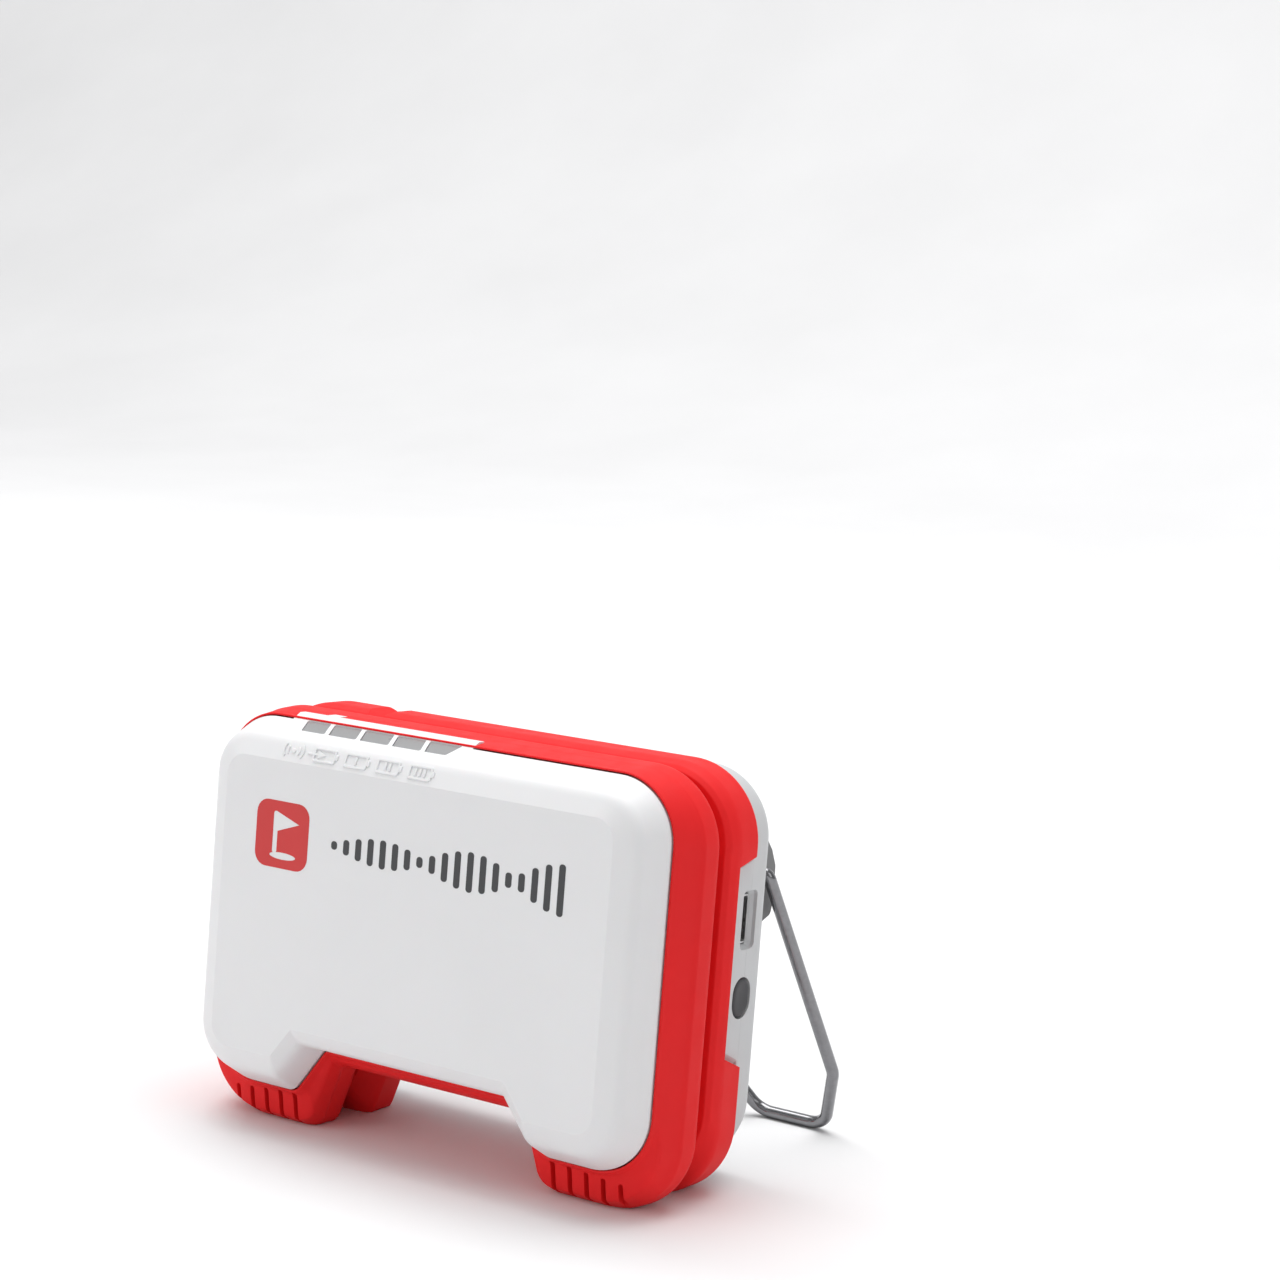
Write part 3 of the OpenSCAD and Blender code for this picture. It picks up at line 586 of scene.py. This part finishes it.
def rear_cover():
    sections = soften([
        (BACK_Y - WALL, grown(BACK, -0.6), 0), (BACK_RIM_Y, grown(SKIRT, -WALL), 0.6),
        (REAR_Y0 + 0.1, grown(SKIRT, -WALL), 0), (REAR_Y0 + 0.1, SKIRT, 0), (REAR_Y1 + 0.05, SKIRT, 0),
        (REAR_Y1 + 0.1, grown(BACK_RIM, -0.15), 0.1), (REAR_Y1 + 0.35, BACK_RIM, 0.2),
        (BACK_RIM_Y, BACK_RIM, 1.1),
        (BACK_Y, BACK, 0.8), (BACK_Y, grown(BACK, -1.2), 0)])
    bm = skin(sections)
    bm = boolean(bm, [side_pad()], "UNION")
    port_inner = rounded_box(PORT_Y, PORT_Z, 2.9, 7.9, 0.6)
    port_outer = rounded_box(PORT_Y, PORT_Z, 4.0, 9.0, 0.9)
    cutters = [
        tapered(port_inner, port_outer, "X", PANEL_X - 0.75, PANEL_X - 0.1),
        prism(port_outer, "X", PANEL_X - 0.1, PANEL_X + 3),
        prism(port_inner, "X", PANEL_X - 8, PANEL_X - 0.7),
        prism(stadium(BUTTON_Y, BUTTON_Z, 5.1, 6.4), "X", PANEL_X - 8, PANEL_X + 4),
        prism(rounded_box(PLATE[0], PLATE[1], PLATE[2], PLATE[3], 1.2), "Y", BACK_Y - 0.5, BACK_Y + 1)]
    for x, z in COVER_SCREWS:
        cutters.append(prism(circle(x, z, 2.0), "Y", BACK_Y - 0.9, BACK_Y + 1))
        cutters.append(prism(circle(x, z, 1.15), "Y", BACK_Y - 4, BACK_Y - 0.8))
    bm = boolean(bm, cutters)
    add_piece("rear_shell", bm, "pale_shell", node="rear_cover", bevel=0.14, segments=3, angle=28)


front_cover()
for index in range(5):
    light_window(index)
front_band()
rear_band()
chassis()
rear_cover()


# ---------------------------------------------------------------- side panel: socket and button
def socket_shape(d):
    """Micro-USB mouth in (y, z): a flat slot with two cut corners on its inner side."""
    half = 3.45 + d
    return [(PORT_Y + 0.95 + d, PORT_Z - half), (PORT_Y + 0.95 + d, PORT_Z + half),
            (PORT_Y - 0.2 - d * 0.4, PORT_Z + half), (PORT_Y - 0.95 - d, PORT_Z + 2.75 + d * 0.4),
            (PORT_Y - 0.95 - d, PORT_Z - 2.75 - d * 0.4), (PORT_Y - 0.2 - d * 0.4, PORT_Z - half)]


def rounded_socket(d, r):
    return [(p.x, p.y) for p in rounded(socket_shape(d), [r] * 6, [4] * 6)]


def charging_socket():
    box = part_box("usb_shell")
    x0, x1 = box[0].x * 1000, box[1].x * 1000
    bm = boolean(prism(rounded_socket(0.28, 0.45), "X", x0, x1),
                 [prism(rounded_socket(0, 0.25), "X", x0 + 0.6, x1 + 1)])
    add_piece("socket_shell", bm, "tin_plate", node="usb_shell", bevel=0.05)
    tongue = prism(rounded_box(PORT_Y + 0.22, PORT_Z, 0.65, 5.0, 0.15, 3), "X", x0 + 0.62, x0 + 4.0)
    add_piece("socket_tongue", tongue, "dark_plastic", node="usb_tongue", bevel=0.04)
    pads = bmesh.new()
    for k in range(5):
        pad = rounded_box(PORT_Y - 0.125, PORT_Z + (k - 2) * 0.65, 0.05, 0.34, 0.02, 2)
        prism(pad, "X", x0 + 1.2, x0 + 3.9, pads)
    add_piece("socket_contacts", pads, "gold_plate")


def power_button():
    """Oval rubber key with a rounded shoulder and a shallow dish, and its stem."""
    bm = bmesh.new()
    levels = [(4.6, 5.9, -2.1), (4.6, 5.9, 0.2), (4.45, 5.75, 0.4), (4.1, 5.4, 0.52), (3.4, 4.7, 0.55),
              (2.2, 3.5, 0.48), (0.6, 1.9, 0.45)]
    rings = [[bm.verts.new((PANEL_X + d, p[0], p[1])) for p in stadium(BUTTON_Y, BUTTON_Z, w, h)]
             for w, h, d in levels]
    bridge(bm, rings)
    prism(circle(BUTTON_Y, BUTTON_Z, 1.0), "X", PANEL_X - 3.3, PANEL_X - 2.09, bm)
    add_piece("power_key", bm, "dark_button", body="button", node="power_button", angle=50)


charging_socket()
power_button()


# ---------------------------------------------------------------- back: hinge blocks, plate and screws
BLOCK_X0, BLOCK_X1 = 33.6, 40.0
BUSHING_R = 1.5


def hinge_block(side):
    profile = [(BACK_Y + 0.02, 40.3), (HINGE_Y + 1.3, 40.4), (HINGE_Y + 3.9, 41.3), (HINGE_Y + 4.4, 43.4),
               (HINGE_Y + 4.5, 46), (HINGE_Y + 4.3, 49), (HINGE_Y + 2.9, 51.6), (HINGE_Y + 1.3, 53.3),
               (BACK_Y + 0.02, 55.4)]
    radii = [0.1, 0.8, 1, 1, 1.4, 1.2, 1, 1, 0.1]
    steps = [1, 4, 6, 4, 4, 4, 4, 4, 1]
    shape = [(p.x, p.y) for p in rounded(profile, radii, steps)]
    lo, hi = sorted((side * BLOCK_X0, side * BLOCK_X1))
    end = side * BLOCK_X1
    bore = prism(circle(HINGE_Y, HINGE_Z, BUSHING_R + 0.02, 40), "X", *sorted((end + side, side * 34.9)))
    bm = boolean(prism(shape, "X", lo, hi), [bore])
    name = "right" if side > 0 else "left"
    add_piece("hinge_block_%s_body" % name, bm, "grey_trim", node="hinge_block_" + name,
              bevel=0.3, segments=3, angle=40)


def rating_plate():
    """Blank plate in its recess, with a thin raised edge."""
    cx, cz, w, h = PLATE
    bm = boolean(prism(rounded_box(cx, cz, w - 0.2, h - 0.2, 1.1), "Y", BACK_Y - 0.48, BACK_Y - 0.08),
                 [prism(rounded_box(cx, cz, w - 1.6, h - 1.6, 0.6), "Y", BACK_Y - 0.2, BACK_Y + 1)])
    add_piece("blank_plate", bm, "grey_trim", node="rating_plate", bevel=0.06)


def cover_screws():
    """Pan-head screws with a six-lobed recess."""
    bm = bmesh.new()
    for x, z in COVER_SCREWS:
        levels = [(1.0, -7.88), (1.0, -0.9), (1.88, -0.89), (1.9, -0.55), (1.8, -0.38), (1.5, -0.24),
                  (1.0, -0.18)]
        rings = [[bm.verts.new((p[0], BACK_Y + d, p[1])) for p in circle(x, z, r, 36)] for r, d in levels]
        bridge(bm, rings)
    lobes = []
    for x, z in COVER_SCREWS:
        star = []
        for k in range(48):
            t = 2 * math.pi * k / 48
            r = 0.78 + 0.14 * math.cos(6 * t)
            star.append((x + r * math.cos(t), z + r * math.sin(t)))
        lobes.append(prism(star, "Y", BACK_Y - 0.62, BACK_Y + 1))
    add_piece("back_screws", boolean(bm, lobes), "screw_steel", node="cover_screws", angle=40)


hinge_block(1)
hinge_block(-1)
rating_plate()
cover_screws()

# ---------------------------------------------------------------- stand
WIRE_R = 1.0
WIRE_SIDES = 28


def stand_path():
    """Centre line of the whole stand in its own plane: across, and down from the hinge axis."""
    half = [(35.2, 0), (41.2, 0), (45.2, -(STAND_LEN - 11.9)), (41.4, -STAND_LEN), (29.1, -STAND_LEN),
            (22.4, -(STAND_LEN - 11.2))]
    bends = [0, 1.35, 4, 4, 4, 4]
    pts = [Vector(p) for p in half] + [Vector((-x, y)) for x, y in reversed(half)]
    radii = bends + bends[::-1]
    path = [pts[0]]
    for i in range(1, len(pts) - 1):
        path += corner(pts[i - 1], pts[i], pts[i + 1], radii[i], 14)
    path.append(pts[-1])
    return path


def stand():
    # the open angle comes from the stand's length and the ground under its bars
    reach = HINGE_Z - (HINGE_Y - REST_Y) * GROUND_TAN - WIRE_R / math.cos(LEAN)
    open_angle = LEAN + math.acos(reach * math.cos(LEAN) / STAND_LEN)
    path = stand_path()
    bm = bmesh.new()
    rings = []
    count = len(path)
    for i, p in enumerate(path):
        ahead = path[min(i + 1, count - 1)] - path[max(i - 1, 0)]
        side = Vector((-ahead.y, ahead.x)).normalized()
        for inset, along in (((0.75, -0.0), (1.0, 0.25)) if i == 0 else
                             ((1.0, -0.25), (0.75, 0.0)) if i == count - 1 else ((1.0, 0.0),)):
            q = p + ahead.normalized() * along
            ring = []
            for k in range(WIRE_SIDES):
                t = 2 * math.pi * k / WIRE_SIDES
                flat = q + side * (WIRE_R * inset * math.cos(t))
                ring.append(bm.verts.new((flat.x, WIRE_R * inset * math.sin(t), flat.y)))
            rings.append(ring)
    bridge(bm, rings)
    bm.transform(Matrix.Translation((0, HINGE_Y, HINGE_Z)) @ Matrix.Rotation(open_angle, 4, "X"))
    add_piece("wire_stand", bm, "stand_steel", body="stand", node="stand_wire", angle=45)


stand()


# ---------------------------------------------------------------- raised icons on the top chamfer
ICON_PITCH = 6.15
ICON_X0 = -23.9
ICON_H = 0.2


def icon_frame(i):
    tilt = math.atan2(CHAMFER_OUT, CHAMFER_Y)
    return Matrix.Translation((ICON_X0 + i * ICON_PITCH, CHAMFER_Y / 2, FACE[1] + CHAMFER_OUT / 2)) @ \
        Matrix.Rotation(tilt, 4, "X")


def hoop(bm, outer, inner, z0, z1):
    """A flat ring between two outlines with as many points."""
    n = len(outer)
    rows = [[bm.verts.new((p[0], p[1], z)) for p in line] for line, z in
            ((outer, z0), (outer, z1), (inner, z1), (inner, z0))]
    for r in range(4):
        a, b = rows[r], rows[(r + 1) % 4]
        for k in range(n):
            bm.faces.new((a[k], a[(k + 1) % n], b[(k + 1) % n], b[k]))


def battery(bm, bars):
    hoop(bm, rounded_box(0, 0, 4.4, 2.3, 0.35), rounded_box(0, 0, 3.7, 1.6, 0.15), -0.2, ICON_H)
    prism(rounded_box(2.4, 0, 0.5, 1.0, 0.15, 3), "Z", -0.2, ICON_H, bm)
    for k in range(bars):
        prism(rounded_box((k - (bars - 1) / 2) * 0.85, 0, 0.38, 1.25, 0.08, 2), "Z", -0.2, ICON_H, bm)


def plug_arrow(bm):
    pts = [(-3.4, -0.16), (-1.2, -0.16), (-1.2, -0.6), (0.3, 0), (-1.2, 0.6), (-1.2, 0.16), (-3.4, 0.16)]
    prism(pts, "Z", -0.2, ICON_H + 0.02, bm)


def waves(bm):
    prism(circle(0, 0, 0.42, 20), "Z", -0.2, ICON_H, bm)
    for r in (1.05, 1.75):
        for start in (-0.62, math.pi - 0.62):
            arc = [start + 1.24 * k / 14 for k in range(15)]
            outer = [((r + 0.15) * math.cos(t) * 1.1, (r + 0.15) * math.sin(t)) for t in arc]
            inner = [((r - 0.15) * math.cos(t) * 1.1, (r - 0.15) * math.sin(t)) for t in reversed(arc)]
            prism(outer + inner, "Z", -0.2, ICON_H, bm)


def icons():
    names = ["waves", "plug", "one_bar", "two_bars", "three_bars"]
    for i, name in enumerate(names):
        bm = bmesh.new()
        if i == 0:
            waves(bm)
        else:
            battery(bm, i - 1)
        if i == 1:
            plug_arrow(bm)
        bm.transform(icon_frame(i))
        add_piece("icon_" + name, bm, "white_shell", bevel=0.07, segments=2, angle=40)


icons()


# ---------------------------------------------------------------- plain print on the front face
PRINT_T = 0.03


def printed(bm, points):
    prism(points, "Y", -PRINT_T, 0.3, bm)


def front_print():
    """A red tile with a white flag cut out of it, and a row of grey level bars."""
    tile = prism(rounded_box(-24.6, 47.6, 10.5, 10.5, 2.2), "Y", -PRINT_T, 0.3)
    pole = prism(rounded_box(-26.0, 47.9, 0.9, 6.6, 0.4, 4), "Y", -1, 1)
    flag = prism([(-25.9, 51.2), (-21.3, 49.6), (-25.9, 48.0)], "Y", -1, 1)
    cup = prism([(-24.3 + 2.6 * math.cos(t), 44.3 + 0.55 * math.sin(t)) for t in
                 [2 * math.pi * k / 32 for k in range(32)]], "Y", -1, 1)
    bm = boolean(tile, [pole, flag, cup])
    add_piece("print_flag_tile", bm, "ink_red", smooth=False)
    bars = bmesh.new()
    count = 19
    for k in range(count):
        t = k / (count - 1)
        height = 1.3 + 6.4 * abs(math.sin(math.pi * t * 2.5)) * (0.35 + 0.65 * t)
        printed(bars, rounded_box(-14.2 + k * 2.35, 47.6, 1.15, height, 0.5, 5))
    add_piece("print_level_bars", bars, "ink_grey", smooth=False)


front_print()

# ---------------------------------------------------------------- finishes of the pieces that CAD draws
for entry in frame["record"]["subparts"]:
    part = frame["nodes"][entry["node"]]
    part.data.materials.clear()
    part.data.materials.append(materials[entry["material_slot"]])

# ---------------------------------------------------------------- camera, floor and light
CAMERA_AT = (249.8, -329.1, 121.6)       # millimetres, in the case's own frame
CAMERA_AZ, CAMERA_EL, CAMERA_ROLL = 32.73, 5.30, 4.46
LENS = 78.16


def camera():
    az, el, roll = (math.radians(a) for a in (CAMERA_AZ, CAMERA_EL, CAMERA_ROLL))
    back = Vector((math.sin(az) * math.cos(el), -math.cos(az) * math.cos(el), math.sin(el)))
    right = Vector((math.cos(az), math.sin(az), 0))
    up = back.cross(right)
    turned = Matrix((right, up, back)).transposed().to_4x4() @ Matrix.Rotation(roll, 4, "Z")
    data = bpy.data.cameras.new("camera")
    data.lens = LENS
    data.sensor_width = 36
    data.clip_start = 0.01
    eye = bpy.data.objects.new("camera", data)
    eye.matrix_world = Matrix.Translation(CASE @ Vector(CAMERA_AT)) @ TILT @ turned
    bpy.context.scene.collection.objects.link(eye)
    bpy.context.scene.camera = eye


def backdrop():
    """A pale floor that curves up into a wall well behind the object."""
    bm = bmesh.new()
    radius, depth, width, height = 0.8, 1.6, 4.0, 3.0
    profile = [(-3.0, 0.0), (depth - radius, 0.0)]
    for k in range(1, 17):
        t = math.pi / 2 * k / 16
        profile.append((depth - radius + radius * math.sin(t), radius - radius * math.cos(t)))
    profile.append((depth, height))
    rows = [[bm.verts.new((x, y, z)) for x in (-width, width)] for y, z in profile]
    for a, b in zip(rows, rows[1:]):
        bm.faces.new((a[0], a[1], b[1], b[0]))
    mesh = bpy.data.meshes.new("backdrop")
    bm.to_mesh(mesh)
    bm.free()
    mesh.polygons.foreach_set("use_smooth", [True] * len(mesh.polygons))
    m, nodes, links, shader = node_material("studio_paper")
    links.new(ramp(nodes, links, noise(nodes, links, 6), (0.80, 0.80, 0.805), (0.83, 0.83, 0.835)),
              shader.inputs["Base Color"])
    shader.inputs["Roughness"].default_value = 0.9
    mesh.materials.append(m)
    floor = bpy.data.objects.new("backdrop", mesh)
    bpy.context.scene.collection.objects.link(floor)


def area(name, at, size, power, target=(0, 0, 0.03)):
    data = bpy.data.lights.new(name, "AREA")
    data.shape = "RECTANGLE"
    data.size, data.size_y = size
    data.energy = power
    lamp = bpy.data.objects.new(name, data)
    lamp.location = at
    lamp.rotation_euler = (Vector(at) - Vector(target)).to_track_quat("Z", "Y").to_euler()
    bpy.context.scene.collection.objects.link(lamp)


def light():
    world = bpy.data.worlds.new("studio")
    bpy.context.scene.world = world
    world.use_nodes = True
    world.node_tree.nodes["Background"].inputs["Color"].default_value = (1, 1, 1, 1)
    world.node_tree.nodes["Background"].inputs["Strength"].default_value = 0.36
    area("top", (-0.05, 0.1, 1.0), (1.1, 0.9), 8)
    area("front_left", (-0.7, -0.9, 0.5), (0.8, 0.8), 3.6)
    area("right", (1.0, -0.2, 0.5), (0.5, 0.7), 1.2)
    area("wall", (-0.9, 0.4, 1.8), (3.0, 1.0), 24, (-1.0, 1.6, 0.5))


camera()
backdrop()
light()
bpy.context.scene.view_settings.view_transform = "Standard"
